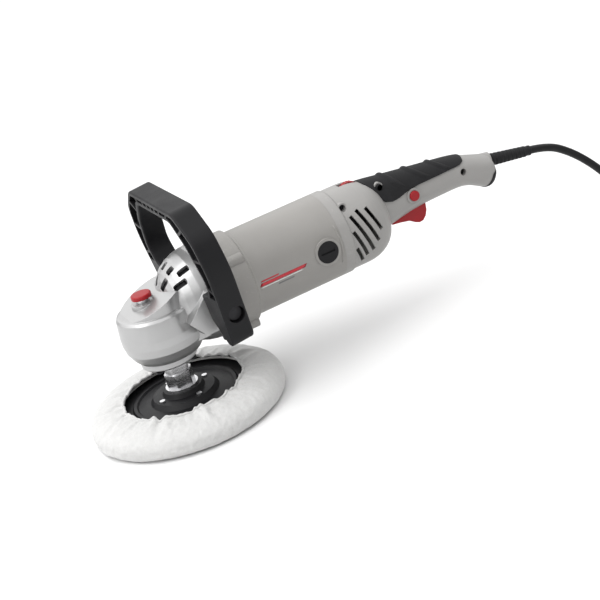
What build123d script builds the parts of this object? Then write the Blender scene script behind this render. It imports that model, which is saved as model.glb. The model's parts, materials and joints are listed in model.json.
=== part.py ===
from build123d import *
import os
from math import atan2, cos, degrees, pi, radians, sin, sqrt, tan

# Rotary polisher. Millimetres. The origin is the centre of the polishing face, +Z runs up the
# spindle, +X runs back along the motor to the cable, and the nose points to -X.

# ---- driving dimensions -------------------------------------------------------------------
AXIS_Z = 102.4            # height of the motor axis above the polishing face
BONNET_R = 93.0           # outside radius of the bonnet
BONNET_OPENING_R = 57.5   # radius of the gathered opening
BONNET_TOP = 25.5         # top of the gathered hem
CLOTH = 4.0               # thickness of the pile
PAD_R = 85.0              # radius of the foam and the backing pad
FOAM_TOP = 13.0
LOOP_TOP = 14.5
HUB_TOP = 26.5            # top of the backing pad's hub
SPINDLE_R = 6.0           # spindle journal in the lower bearing
THREAD_R = 7.0            # M14 spindle thread
NOSE_R = 38.8             # gear housing around the crown gear
MOTOR_R = 41.0            # motor housing
MOTOR_WALL = 2.4
COLLAR_R = 44.5
FLANGE_X = 62.0           # rear face of the gear housing
PLATE = 4.0               # front bearing plate between gear housing and motor housing
MOTOR_END_X = 183.0
BRUSH_X = 159.0           # brush gear, and the two brush caps
REAR_X = 176.0            # front edge of the rear housing
REAR_WALL = 2.6
CROWN_TEETH = 41
PINION_TEETH = 9
MODULE = 1.4
FACE_WIDTH = 8.0          # length of the gear teeth along the cone
HANDLE_LEAN = 4.4         # the bow handle leans forward by this many degrees
HANDLE_TOP = 199.5
HANDLE_WIDTH = 22.0       # width of the bow handle's band
CORD_R = 4.0              # mains lead
FLOOR_GAP = 0.05


def save(name, *shapes):
    """Write one sub-part; several solids share one file."""
    body = shapes[0] if len(shapes) == 1 else Compound(children=list(shapes))
    export_step(body, f"parts/{name}.step")


# ---- shared shapes --------------------------------------------------------------------------
def rod(radius, start, end):
    """Cylinder between two points."""
    along = Vector(*end) - Vector(*start)
    return Solid.make_cylinder(radius, along.length, Plane(origin=start, z_dir=along))


def rod_x(radius, x0, x1, y=0.0, z=AXIS_Z):
    return rod(radius, (x0, y, z), (x1, y, z))


def rod_y(radius, y0, y1, x, z):
    return rod(radius, (x, y0, z), (x, y1, z))


def rod_z(radius, z0, z1, x=0.0, y=0.0):
    return rod(radius, (x, y, z0), (x, y, z1))


def box(x, y, z):
    """Block from three (low, high) pairs."""
    block = Solid.make_box(x[1] - x[0], y[1] - y[0], z[1] - z[0])
    return block.moved(Location((x[0], y[0], z[0])))


def lathe_z(points):
    """Turn a closed outline of (radius, height) about the spindle axis."""
    face = Face(Wire.make_polygon([(r, 0, z) for r, z in points], close=True))
    return Solid.revolve(face, 360, Axis.Z)


def lathe_x(points):
    """Turn a closed outline of (x, radius) about the motor axis."""
    face = Face(Wire.make_polygon([(x, 0, AXIS_Z + r) for x, r in points], close=True))
    return Solid.revolve(face, 360, Axis((0, 0, AXIS_Z), (1, 0, 0)))


def prism_y(points, y0, y1):
    """Outline of (x, z) points, extruded across the tool."""
    face = Face(Wire.make_polygon([(x, y0, z) for x, z in points], close=True))
    return Solid.extrude(face, Vector(0, y1 - y0, 0))


def hexagon_z(across_flats, z0, z1):
    corner = across_flats / sqrt(3)
    outline = [(corner * cos(radians(60 * i)), corner * sin(radians(60 * i)), z0) for i in range(6)]
    return Solid.extrude(Face(Wire.make_polygon(outline, close=True)), Vector(0, 0, z1 - z0))


def around_z(shape, count, start=0.0):
    return [shape.rotate(Axis.Z, start + 360 * i / count) for i in range(count)]


def around_motor(shape, count, start=0.0):
    axis = Axis((0, 0, AXIS_Z), (1, 0, 0))
    return [shape.rotate(axis, start + 360 * i / count) for i in range(count)]


def both_sides(shape):
    return [shape, shape.mirror(Plane.XZ)]


def bearing(bore, outer, width, start, axis):
    """Shielded ball bearing: two rings joined by recessed shields."""
    face_drop = 0.6
    land = (outer - bore) * 0.22
    ring_points = [
        (bore, 0), (bore + land, 0), (bore + land, face_drop), (outer - land, face_drop),
        (outer - land, 0), (outer, 0), (outer, width), (outer - land, width),
        (outer - land, width - face_drop), (bore + land, width - face_drop),
        (bore + land, width), (bore, width),
    ]
    if axis == "z":
        return lathe_z([(r, start + w) for r, w in ring_points])
    return lathe_x([(start + w, r) for r, w in ring_points])


def coil_spring(radius, wire, turns, origin, axis, length):
    """Open helical spring with its wire inside the given length."""
    pitch = (length - 2 * wire) / turns
    path = Edge.make_helix(pitch, length - 2 * wire, radius)
    path = path.moved(Location((0, 0, wire)))
    section = Face(Wire.make_circle(wire, Plane(origin=path @ 0, z_dir=path % 0)))
    spring = Solid.sweep(section, Wire([path]), is_frenet=True)
    return Plane(origin=origin, z_dir=axis).location * spring


def tapered_loft(stations, inset, x0, x1):
    """Handle body through elliptic sections (x, centre height, half width, half height)."""
    wires = []
    for x, centre, half_y, half_z in stations:
        at = min(max(x, x0), x1)
        plane = Plane(origin=(at, 0, centre), x_dir=(0, 1, 0), z_dir=(1, 0, 0))
        if half_z >= half_y:
            plane = Plane(origin=(at, 0, centre), x_dir=(0, 0, 1), z_dir=(1, 0, 0))
        long_half = max(half_y, half_z) - inset
        short_half = min(half_y, half_z) - inset
        wires.append(Wire.make_ellipse(long_half, short_half, plane))
    return Solid.make_loft(wires)


def corner_radii(points):
    """Arc radius for each inner corner of a cord: 0.45 of the shorter run, over tan(half turn)."""
    radii = []
    for before, here, after in zip(points, points[1:], points[2:]):
        run_in = Vector(*here) - Vector(*before)
        run_out = Vector(*after) - Vector(*here)
        half_turn = radians(run_in.get_angle(run_out)) / 2
        radii.append(0.45 * min(run_in.length, run_out.length) / tan(half_turn))
    return radii


def cord_tube(name, radius, points):
    """Tube along straight runs joined by tangent arcs."""
    radii = corner_radii(points)
    path = FilletPolyline(*points, radius=radii)
    section = Face(Wire.make_circle(radius, Plane(origin=points[0], z_dir=path % 0)))
    tube = sweep(section, path=path)
    expected = pi * radius ** 2 * path.length
    print(name, "length", round(path.length, 1), "radii", [round(r) for r in radii],
          "volume ratio", round(tube.volume / expected, 4))
    return tube


os.makedirs("parts", exist_ok=True)

# ---- polishing pad stack --------------------------------------------------------------------
bonnet_outside = [
    (0, 0), (84, 0), (89.5, 2.5), (BONNET_R - 0.6, 7), (BONNET_R, 10), (BONNET_R - 0.8, 14.5),
    (89, 19.5), (81, 23.6), (70, BONNET_TOP), (BONNET_OPENING_R, BONNET_TOP - 0.6),
]
bonnet_inside = [
    (BONNET_OPENING_R, 21.2), (72, 21.2), (80, 19.4), (PAD_R + 1.6, 16.5), (PAD_R + 2.4, 12),
    (PAD_R + 1, CLOTH), (0, CLOTH),
]
save("polishing_bonnet", lathe_z(bonnet_outside + bonnet_inside))

drawstring = Solid.make_torus(62.0, 1.1, Plane(origin=(0, 0, 19.7)))
save("drawstring", drawstring)

foam_points = [(0, CLOTH), (PAD_R - 3, CLOTH), (PAD_R, CLOTH + 3), (PAD_R, FOAM_TOP), (0, FOAM_TOP)]
loop_backing = rod_z(PAD_R - 1, FOAM_TOP, LOOP_TOP)
save("foam_pad", lathe_z(foam_points) + loop_backing)

HUB_INSERT_R = 12.0
backing_points = [
    (HUB_INSERT_R, LOOP_TOP), (PAD_R, LOOP_TOP), (PAD_R, 16), (79, 18.2), (66, 18.2), (64, 17),
    (51, 16.6), (49.5, 18.4), (46.5, 18.4), (45, 16.6), (33, 17.4), (29.5, 22), (20.5, 22.4),
    (18.5, HUB_TOP), (HUB_INSERT_R, HUB_TOP),
]

RIVET_RING_R = 25.0
rivet = rod_z(2.6, 22.0, 23.4, x=RIVET_RING_R) + rod_z(1.4, 20.0, 22.0, x=RIVET_RING_R)
rivet_holes = around_z(rivet, 4, start=195)
backing_pad = lathe_z(backing_points)
for hole in rivet_holes:
    backing_pad -= hole
save("backing_pad", backing_pad)
save("hub_rivets", *rivet_holes)

WASHER_TOP = HUB_TOP + 2.0
HUB_HEX_TOP = 42.0
save("hub_washer", rod_z(15.5, HUB_TOP, WASHER_TOP) - rod_z(HUB_INSERT_R, HUB_TOP, WASHER_TOP))
pad_hub = hexagon_z(24.0, WASHER_TOP, HUB_HEX_TOP) & rod_z(13.3, WASHER_TOP, HUB_HEX_TOP)
pad_hub += rod_z(HUB_INSERT_R, LOOP_TOP, WASHER_TOP)
pad_hub -= rod_z(THREAD_R, LOOP_TOP + 4, HUB_HEX_TOP)
save("pad_hub", pad_hub)

# ---- spindle and crown gear -----------------------------------------------------------------
LOWER_BEARING_Z = 60.0
LOWER_BEARING_W = 10.0
UPPER_BEARING_Z = 103.0
UPPER_BEARING_W = 6.0
UPPER_BORE = 3.0
CROWN_SEAT_Z = 83.0
CROWN_WEB_Z = 94.6
SEAL_R = 9.0
spindle_points = [
    (0, 22), (THREAD_R - 0.05, 22), (THREAD_R - 0.05, HUB_HEX_TOP), (11, HUB_HEX_TOP),
    (11, 50), (SEAL_R, 51.5), (SEAL_R, LOWER_BEARING_Z), (SPINDLE_R, LOWER_BEARING_Z),
    (SPINDLE_R, LOWER_BEARING_Z + LOWER_BEARING_W + 0.4), (8, LOWER_BEARING_Z + LOWER_BEARING_W + 0.4),
    (8, CROWN_SEAT_Z), (6.5, CROWN_SEAT_Z), (6.5, CROWN_WEB_Z + 2.0), (5, CROWN_WEB_Z + 2.0),
    (5, UPPER_BEARING_Z - 0.4), (UPPER_BORE, UPPER_BEARING_Z - 0.4),
    (UPPER_BORE, UPPER_BEARING_Z + UPPER_BEARING_W), (0, UPPER_BEARING_Z + UPPER_BEARING_W),
]
spindle = lathe_z(spindle_points)
for side in (-1, 1):
    flat_y = sorted((side * 8.5, side * 14))
    spindle -= box((-14, 14), flat_y, (43.5, 49.5))
KEY = box((5.2, 8.0), (-1.5, 1.5), (CROWN_SEAT_Z + 1, CROWN_WEB_Z - 1.5))
spindle -= KEY
save("spindle", spindle)
save("gear_key", KEY)

CROWN_PITCH_R = CROWN_TEETH * MODULE / 2
PINION_PITCH_R = PINION_TEETH * MODULE / 2
CONE = sqrt(CROWN_PITCH_R ** 2 + PINION_PITCH_R ** 2)
TOOTH_HALF = 0.60          # half thickness of a tooth on the pitch line, thin for free running
ADDENDUM = 1.05
DEDENDUM = 1.45
FLANK_SLOPE = 0.26


def bevel_tooth(pitch_radius, other_radius):
    """One straight bevel tooth pointing up its cone, built at the gear's own apex.

    The gear axis is +Z, the apex is the origin and the pitch cone opens downwards."""
    cone_angle = atan2(pitch_radius, other_radius)
    along = Vector(sin(cone_angle), 0, -cos(cone_angle))
    outward = Vector(cos(cone_angle), 0, sin(cone_angle))
    sideways = Vector(0, 1, 0)
    wires = []
    for reach in (CONE, CONE - FACE_WIDTH):
        scale = reach / CONE
        corners = []
        for height, side in ((ADDENDUM, 1), (ADDENDUM, -1), (-DEDENDUM - 0.5, -1), (-DEDENDUM - 0.5, 1)):
            half = TOOTH_HALF - FLANK_SLOPE * height
            point = along * reach + outward * (height * scale) + sideways * (side * half * scale)
            corners.append(point)
        wires.append(Wire.make_polygon(corners, close=True))
    return Solid.make_loft(wires, ruled=True)


def bevel_blank(pitch_radius, other_radius, back, bore):
    """Cone under the teeth, with its apex at the origin and a flat back."""
    cone_angle = atan2(pitch_radius, other_radius)
    root = []
    for reach in (CONE, CONE - FACE_WIDTH):
        drop = DEDENDUM * reach / CONE
        radius = reach * sin(cone_angle) - drop * cos(cone_angle)
        height = -reach * cos(cone_angle) - drop * sin(cone_angle)
        root.append((radius, height))
    outline = [(bore, back), (root[0][0], back), root[0], root[1], (bore, root[1][1])]
    return lathe_z(outline)


def bevel_gear(teeth, pitch_radius, other_radius, back, bore, phase):
    gear = bevel_blank(pitch_radius, other_radius, back, bore)
    tooth = bevel_tooth(pitch_radius, other_radius)
    return gear.fuse(*around_z(tooth, teeth, start=phase))


crown_back = CROWN_SEAT_Z + 1.5 - AXIS_Z
crown = bevel_gear(CROWN_TEETH, CROWN_PITCH_R, PINION_PITCH_R, crown_back, 17.4, phase=0)
crown = crown.moved(Location((0, 0, AXIS_Z)))
crown_web = rod_z(18.5, CROWN_SEAT_Z, CROWN_WEB_Z)
crown_web -= rod_z(6.5, CROWN_SEAT_Z, CROWN_WEB_Z)
crown = crown.fuse(crown_web)
LOCK_PIN_X = -14.0
LOCK_PIN_R = 2.2
lock_holes = around_z(rod_z(LOCK_PIN_R + 0.8, 86, CROWN_WEB_Z + 1, x=LOCK_PIN_X), 4)
for hole in lock_holes:
    crown -= hole
crown -= KEY
save("crown_gear", crown)

circlip_z = (CROWN_WEB_Z, CROWN_WEB_Z + 1.2)
circlip = rod_z(9.0, *circlip_z) - rod_z(6.5, *circlip_z) - box((-12, -4), (-1.5, 1.5), circlip_z)
save("gear_circlip", circlip)

pinion_half_turn = 180 / PINION_TEETH
pinion_back = -(CONE * cos(atan2(PINION_PITCH_R, CROWN_PITCH_R)) + 1.0)
pinion = bevel_gear(PINION_TEETH, PINION_PITCH_R, CROWN_PITCH_R, pinion_back, 3.0, phase=pinion_half_turn)
pinion_hub_x = 37.0
to_motor_axis = Plane(origin=(0, 0, AXIS_Z), x_dir=(0, 0, -1), z_dir=(-1, 0, 0)).location
pinion = to_motor_axis * pinion
pinion += rod_x(6.0, -pinion_back, pinion_hub_x) - rod_x(3.0, -pinion_back, pinion_hub_x)
save("drive_pinion", pinion)

FLANGE_OFFSET = -2.5
FLANGE_R = 26.5
flange_z = (55.5, 63.0)
lower_seat_z = (LOWER_BEARING_Z, LOWER_BEARING_Z + LOWER_BEARING_W)
LOWER_BEARING_R = 16.0
bearing_flange = rod_z(FLANGE_R, *flange_z, x=FLANGE_OFFSET)
bearing_flange = chamfer(bearing_flange.edges().sort_by(Axis.Z)[0], 1.5)
bearing_flange += rod_z(20.5, flange_z[0], LOWER_BEARING_Z + LOWER_BEARING_W)
bearing_flange += rod_z(14.5, 52.5, flange_z[1])
bearing_flange -= rod_z(LOWER_BEARING_R, *lower_seat_z)
bearing_flange -= rod_z(13.0, 54.0, LOWER_BEARING_Z)
bearing_flange -= rod_z(SEAL_R + 0.6, 50.0, LOWER_BEARING_Z)
flange_screw = rod_z(2.0, 54.5, 67.0, x=23.2) + rod_z(3.4, 53.7, 55.5, x=23.2)
flange_screws = [s.moved(Location((FLANGE_OFFSET, 0, 0))) for s in around_z(flange_screw, 4, start=45)]
for screw in flange_screws:
    bearing_flange -= screw
save("bearing_flange", bearing_flange)
save("lower_bearing", bearing(SPINDLE_R + 0.03, LOWER_BEARING_R, LOWER_BEARING_W, LOWER_BEARING_Z, "z"))
save("upper_bearing", bearing(UPPER_BORE + 0.03, 9.5, UPPER_BEARING_W, UPPER_BEARING_Z, "z"))
seal_points = [(SEAL_R + 0.08, 55), (13.0, 55), (13.0, 59.4), (SEAL_R + 0.08, 59.4)]
save("oil_seal", lathe_z(seal_points))

# ---- gear housing ---------------------------------------------------------------------------
nose_outside = [
    (0, flange_z[1]), (30.2, flange_z[1]), (33.4, 67), (37.4, 74.5), (NOSE_R, 82), (NOSE_R, 89),
    (37.6, 101), (37.0, 106.0), (35.4, 108.2), (33.0, 109.0), (0, 109.0),
]
DOME = [(6, 16), (8.5, 20), (12, 26.5), (16, 31.5), (21, 36), (28, 40.3), (35, 43), (42, 44.6), (50, 45.5)]
dome_outside = [(6, 0)] + DOME + [(FLANGE_X, 45.8), (FLANGE_X, 0)]
deck_slope = [(-36, 96), (-36, 106.4), (16, 123.4), (30, 123.4), (30, 96)]
deck = prism_y(deck_slope, -33, 33) & rod_z(33.0, 96, 130)
ear_outline = [(14, 96), (37, 118), (FLANGE_X - 4, 118), (FLANGE_X - 4, 86), (46, 80), (26, 80)]
EAR_Y = 46.3
ears = prism_y(ear_outline, -EAR_Y, EAR_Y)
BUTTON_X = -8.0
BUTTON_R = 9.5
BUTTON_SEAT_Z = 116.6
button_boss = rod_z(11.5, 108, BUTTON_SEAT_Z, x=BUTTON_X)
neck = box((0, 46), (-30, 30), (72, 104))
gear_housing = lathe_z(nose_outside).fuse(lathe_x(dome_outside), deck, ears, button_boss, neck)

gear_cavity = lathe_z([
    (0, 60), (20.5, 60), (20.5, 72), (31.5, 78), (31.5, 100), (28, 102.5), (13, 102.5), (13, 102.9), (0, 102.9),
])
throat = rod_x(15.0, 10, FLANGE_X)
FRONT_BEARING_R = 15.0
airway = lathe_x([
    (24, 30), (30, 36.4), (36, 39.5), (44, 41.5), (FLANGE_X, 42.6), (FLANGE_X, 20), (44, 20), (40, 24), (34, 28),
])
airway -= box((0, FLANGE_X), (-EAR_Y, EAR_Y), (50, 112))
# air outlets in the dome: front and back edge, turn about the motor axis in degrees, width, wall radius
VENT_CUT = 9.0
vent_places = [
    (9.4, 16.2, 23, 7.0, 27), (9.4, 16.2, -15, 7.0, 27), (18.6, 25.2, 17, 7.0, 35), (18.6, 25.2, -5, 7.0, 35),
    (24.5, 35.5, 34, 6.4, 40), (16.6, 28.5, 48, 6.0, 37), (24.5, 35.5, -24, 6.4, 40), (16.6, 28.5, -39, 6.0, 37),
]
vents = []
for front, rear, turn, width, wall_r in vent_places:
    depth = (AXIS_Z + wall_r - VENT_CUT, AXIS_Z + wall_r + VENT_CUT)
    slot = box((front, rear), (-width / 2, width / 2), depth)
    slot = fillet(slot.edges().filter_by(Axis.Z), 1.5)
    vents.append(slot.rotate(Axis((0, 0, AXIS_Z), (1, 0, 0)), turn))
gear_housing -= gear_cavity
gear_housing -= throat
gear_housing -= airway
gear_housing -= rod_z(9.5, 102.0, UPPER_BEARING_Z + UPPER_BEARING_W)
for vent in vents:
    gear_housing -= vent

# ---- spindle lock ---------------------------------------------------------------------------
LOCK_TOP = 124.9
button = rod_z(BUTTON_R, 121.0, LOCK_TOP, x=BUTTON_X)
button = fillet(button.edges().sort_by(Axis.Z)[-1], 1.4)
PLUNGER_R = 5.6
plunger = rod_z(PLUNGER_R, 115.0, 122.6, x=BUTTON_X)
button -= plunger
gear_housing -= rod_z(BUTTON_R + 0.5, BUTTON_SEAT_Z, 130, x=BUTTON_X)
gear_housing -= rod_z(PLUNGER_R + 0.2, 110.6, 121, x=BUTTON_X)
plunger -= rod_z(4.0, 115.0, 119.4, x=BUTTON_X)
save("lock_spring", coil_spring(3.1, 0.35, 5, (BUTTON_X, 0, 110.6), (0, 0, 1), 8.8))
lock_pin = rod_z(LOCK_PIN_R, 95.6, 116.0, x=LOCK_PIN_X) + plunger
gear_housing -= rod_z(LOCK_PIN_R + 0.4, 100, 118, x=LOCK_PIN_X)
save("spindle_lock_button", button)
save("spindle_lock_pin", lock_pin)

EAR_BOLT_X = 46.0
EAR_BOLT_Z = 103.0
BOLT_R = 4.0
ear_bolt_bores = both_sides(rod_y(BOLT_R, 24, 60, EAR_BOLT_X, EAR_BOLT_Z))
GEAR_SCREW_R = 2.5
gear_screw_spots = [(20.0, -40.5), (-20.0, -40.5), (33.0, 26.5), (-33.0, 26.5)]
gear_screws = []
for spot_y, spot_z in gear_screw_spots:
    lug = rod_x(5.5, 50, FLANGE_X, y=spot_y, z=AXIS_Z + spot_z)
    gear_housing += lug
for spot_y, spot_z in gear_screw_spots:
    shank = rod_x(GEAR_SCREW_R, 50, 80, y=spot_y, z=AXIS_Z + spot_z)
    head = rod_x(4.2, 46.5, 50, y=spot_y, z=AXIS_Z + spot_z)
    gear_screws.append(head + shank)
for screw in gear_screws:
    gear_housing -= screw
save("gear_head_screws", *flange_screws, *gear_screws)
for bore in ear_bolt_bores:
    gear_housing -= bore
for screw in flange_screws:
    gear_housing -= screw
save("gear_housing", gear_housing)

# ---- bow handle -----------------------------------------------------------------------------
lean = radians(HANDLE_LEAN)
handle_plane = Plane(origin=(26, 0, HANDLE_TOP), x_dir=(0, 1, 0), z_dir=(cos(lean), 0, sin(lean)))
# corners of the right half of the band, (across, height above the origin), with corner radii
outer_corners = [((57, 199.5), 18), ((84, 178), 26), ((93, 146), 60), ((79, 71.5), 11), ((66, 71.5), 7)]
seat_corners = [((46.3, 92), 1.5), ((46.3, 117.5), 1.5)]
inner_corners = [((66, 120), 7), ((74.5, 136), 16), ((60, 168), 30), ((42, 188), 10)]
half_outline = outer_corners + seat_corners + inner_corners
corner_points = [(y, z - HANDLE_TOP) for (y, z), radius in half_outline]
corner_sizes = [radius for corner, radius in half_outline]
mirror_points = [(-y, z) for y, z in reversed(corner_points)]
# the band is one closed loop: over the top outside, then back along the inside
loop_points = corner_points + mirror_points
loop_sizes = corner_sizes + corner_sizes[::-1]
loop = FilletPolyline(*loop_points, radius=loop_sizes, close=True)
band_face = handle_plane * make_face(loop)
d_handle = extrude(band_face, amount=HANDLE_WIDTH)
for face_rank in (0, -1):
    flat_face = d_handle.faces().sort_by(Axis.X)[face_rank]
    d_handle = fillet(flat_face.edges(), 1.8)

# pockets moulded into the front of the band, between an outer and an inner lip
pocket_band = offset(make_face(loop), amount=-4.2)
POCKET_DEPTH = 7.0
rib_half = 1.3
rib_angles = (-122, -104, -84, -62, -42, -26, -13, 0, 13, 26, 42, 62, 84, 104, 122)
pocket_centre_z = 150.0 - HANDLE_TOP
ribs = []
for angle in rib_angles:
    rib = Pos(0, 75) * Rectangle(2 * rib_half, 150)
    ribs.append(Pos(0, pocket_centre_z) * Rot(0, 0, angle) * rib)
pockets = pocket_band - ribs - Pos(0, -115) * Rectangle(200, 74)
for pocket in pockets.faces():
    d_handle -= extrude(handle_plane * pocket, amount=POCKET_DEPTH)
handle_bolts = []
for side in (1, -1):
    d_handle -= rod_y(BOLT_R + 0.2, side * 40, side * 76, EAR_BOLT_X, EAR_BOLT_Z)
    d_handle -= rod_y(7.8, side * 72, side * 110, EAR_BOLT_X, EAR_BOLT_Z)
    bolt = rod_y(BOLT_R, side * 26, side * 72, EAR_BOLT_X, EAR_BOLT_Z)
    bolt += rod_y(6.5, side * 72, side * 79, EAR_BOLT_X, EAR_BOLT_Z)
    handle_bolts.append(bolt)
save("d_handle", d_handle)
save("handle_bolts", *handle_bolts)

# ---- motor ----------------------------------------------------------------------------------
COLLAR_X = FLANGE_X + PLATE
plate = rod_x(COLLAR_R, FLANGE_X, COLLAR_X)
plate += rod_x(FRONT_BEARING_R, 53.2, FLANGE_X)
plate -= rod_x(9.0, 50, COLLAR_X)
for opening in around_motor(rod(5.0, (FLANGE_X, 0, AXIS_Z + 29), (COLLAR_X, 0, AXIS_Z + 29)), 8, 22.5):
    plate -= opening
for screw in gear_screws:
    plate -= screw
save("front_bearing_plate", plate)
save("front_bearing", bearing(5.03, FRONT_BEARING_R, 9.0, 44.0, "x"))

shaft_points = [
    (22, 0), (22, 3.0), (37, 3.0), (37, 5.0), (68, 5.0), (68, 6.0), (170, 6.0), (170, 4.0),
    (182, 4.0), (182, 0),
]
save("armature_shaft", lathe_x(shaft_points))

fan = rod_x(13, 69, 79) - rod_x(6.0, 69, 79)
fan += rod_x(36, 77, 79) - rod_x(12, 77, 79)
blade = box((69.5, 77.5), (-0.8, 0.8), (AXIS_Z + 12.0, AXIS_Z + 35))
blade = blade.rotate(Axis((0, 0, AXIS_Z + 24), (1, 0, 0)), 22)
fan = fan.fuse(*around_motor(blade, 15))
save("cooling_fan", fan)

CORE = (88.0, 132.0)
ARMATURE_R = 24.0
armature_core = rod_x(ARMATURE_R, *CORE) - rod_x(6.0, *CORE)
slot = box(CORE, (-1.1, 1.1), (AXIS_Z + ARMATURE_R - 6, AXIS_Z + ARMATURE_R + 1))
for cut in around_motor(slot, 12):
    armature_core -= cut
save("armature_core", armature_core)
winding_ends = []
for start, end in ((81.0, CORE[0]), (CORE[1], 143.0)):
    ring_points = [(start, 6), (start, 17), (start + 2, 20.5), (end - 2, 21), (end, 19), (end, 6)]
    winding_ends.append(lathe_x(ring_points))
save("armature_windings", *winding_ends)

COMMUTATOR_R = 13.5
commutator = rod_x(COMMUTATOR_R, 149, 168) - rod_x(6.0, 149, 168)
segment_gap = box((149, 168), (-0.3, 0.3), (AXIS_Z + COMMUTATOR_R - 1.2, AXIS_Z + COMMUTATOR_R + 1))
for cut in around_motor(segment_gap, 20):
    commutator -= cut
save("commutator", commutator)
save("rear_bearing", bearing(4.03, 11.0, 7.0, 173.5, "x"))
BUSH_R = 13.0
rubber_bush = rod_x(BUSH_R, 172.5, 181.5) - rod_x(11.0, 172.5, 180.5) - rod_x(6.0, 172.5, 181.5)
save("rear_bearing_bush", rubber_bush)

MOTOR_BORE = MOTOR_R - MOTOR_WALL
field_core = rod_x(MOTOR_BORE - 0.1, *CORE) - rod_x(ARMATURE_R + 1.0, *CORE)
for side in (1, -1):
    window = box(CORE, sorted((side * 20, side * 33)), (AXIS_Z - 14, AXIS_Z + 14))
    field_core -= window
save("field_core", field_core)
field_windings = []
for side in (1, -1):
    coil_y = sorted((side * (ARMATURE_R + 2.0), side * 32.8))
    coil = box((CORE[0] - 6, CORE[1] + 8), coil_y, (AXIS_Z - 13, AXIS_Z + 13))
    field_windings.append(coil)
save("field_windings", *field_windings)

motor_points = [
    (COLLAR_X, MOTOR_BORE), (COLLAR_X, COLLAR_R), (83, COLLAR_R), (84.6, MOTOR_R + 0.8),
    (88, MOTOR_R), (REAR_X, MOTOR_R), (REAR_X, 38.0), (MOTOR_END_X, 38.0), (MOTOR_END_X, 35.4),
    (168, 35.4), (168, MOTOR_BORE),
]
motor_housing = lathe_x(motor_points)
bridge = rod_x(36.5, 176.5, 180) + rod_x(16.0, 172, MOTOR_END_X)
for opening in around_motor(rod(7.0, (176, 0, AXIS_Z + 25.5), (181, 0, AXIS_Z + 25.5)), 6, 30):
    bridge -= opening
motor_housing += bridge
motor_housing -= rod_x(BUSH_R, 171, 181.5)
motor_housing -= rod_x(6.0, 171, MOTOR_END_X + 1)
for spot_y, spot_z in gear_screw_spots:
    lug = rod_x(5.5, COLLAR_X, 82, y=spot_y, z=AXIS_Z + spot_z)
    motor_housing += lug - rod_x(MOTOR_BORE - 1.0, COLLAR_X, 82)
for screw in gear_screws:
    motor_housing -= screw

HOLDER_X = 4.6
HOLDER_Z = 6.8
CAP_R = 10.3
holders = []
brushes = []
springs = []
caps = []
for side in (1, -1):
    motor_housing += rod_y(13.0, side * 30, side * 41.6, BRUSH_X, AXIS_Z)
    motor_housing -= rod_y(CAP_R + 0.1, side * 36.4, side * 44, BRUSH_X, AXIS_Z)
    holder_y = sorted((side * 15, side * 36.2))
    holder = box((BRUSH_X - HOLDER_X, BRUSH_X + HOLDER_X), holder_y, (AXIS_Z - HOLDER_Z, AXIS_Z + HOLDER_Z))
    motor_housing -= holder
    holder -= box((BRUSH_X - 3.4, BRUSH_X + 3.4), sorted((side * 14, side * 37)), (AXIS_Z - 5.3, AXIS_Z + 5.3))
    holders.append(holder)
    brush_y = sorted((side * 13.7, side * 28))
    brushes.append(box((BRUSH_X - 3.2, BRUSH_X + 3.2), brush_y, (AXIS_Z - 5.1, AXIS_Z + 5.1)))
    springs.append(coil_spring(2.5, 0.35, 5, (BRUSH_X, side * 28.0, AXIS_Z), (0, side, 0), 7.8))
    cap = rod_y(CAP_R, side * 36.4, side * 41.9, BRUSH_X, AXIS_Z)
    cap -= box((BRUSH_X - 7, BRUSH_X + 7), sorted((side * 40.7, side * 43)), (AXIS_Z - 1, AXIS_Z + 1))
    caps.append(cap)
save("motor_housing", motor_housing)
save("brush_holders", *holders)
save("carbon_brushes", *brushes)
save("brush_springs", *springs)
save("brush_caps", *caps)

# ---- rear housing and handle ----------------------------------------------------------------
# (x, centre height, half width, half height)
GRIP_STATIONS = [
    (200, 107.5, 28, 30), (222, 110.5, 22, 27.5), (240, 110.3, 18.6, 25.3), (262, 110.6, 17, 21.6),
    (285, 110.0, 16.5, 18.8), (308, 108.6, 16.5, 16.8), (331, 105.4, 16.5, 15.6),
    (343, 100.6, 17.3, 16.4), (353, 96.9, 17.6, 16.6), (360, 98.4, 15.5, 12.5),
]
HEEL_X = 360.0
barrel_arc = [(206 + 30 * sin(radians(a)), 18 + 21.8 * cos(radians(a))) for a in range(0, 91, 10)]
barrel_points = [(REAR_X, 0), (REAR_X, 41.0), (186, 41.0), (187.5, 39.8)] + barrel_arc + [(236, 0)]
inner_arc = [(x - 1.5, r - REAR_WALL) for x, r in barrel_arc]
inner_points = [(REAR_X - 1, 0), (REAR_X - 1, 38.05), (186, 38.05), (187.5, 37.2)] + inner_arc + [(234.5, 0)]
handle_outer = tapered_loft(GRIP_STATIONS, 0.0, 200, HEEL_X)
handle_inner = tapered_loft(GRIP_STATIONS, REAR_WALL, 198, HEEL_X - 3.4)
rear_outer = lathe_x(barrel_points).fuse(handle_outer)

BOOT_TILT = radians(10)
boot_along = Vector(cos(BOOT_TILT), 0, -sin(BOOT_TILT))
BOOT_ROOT = Vector(360.5, 0, 103.6)


def on_boot(distance):
    """Point on the cable's line as it leaves the handle."""
    return BOOT_ROOT + boot_along * distance


nozzle = rod(8.4, on_boot(-14), on_boot(1.6))
rear_shell = rear_outer.fuse(nozzle)
rear_shell -= lathe_x(inner_points)
rear_shell -= handle_inner
bumper_outline = [(347.5, 78), (351, 86), (355, 94.5), (361, 98), (370, 98), (370, 70), (347.5, 70)]
bumper_zone = prism_y(bumper_outline, -30, 30)
bumper = tapered_loft(GRIP_STATIONS, -0.5, 200, HEEL_X + 0.8) & bumper_zone
bumper -= handle_inner
rear_shell -= bumper_zone
save("rear_bumper", bumper)

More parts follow.
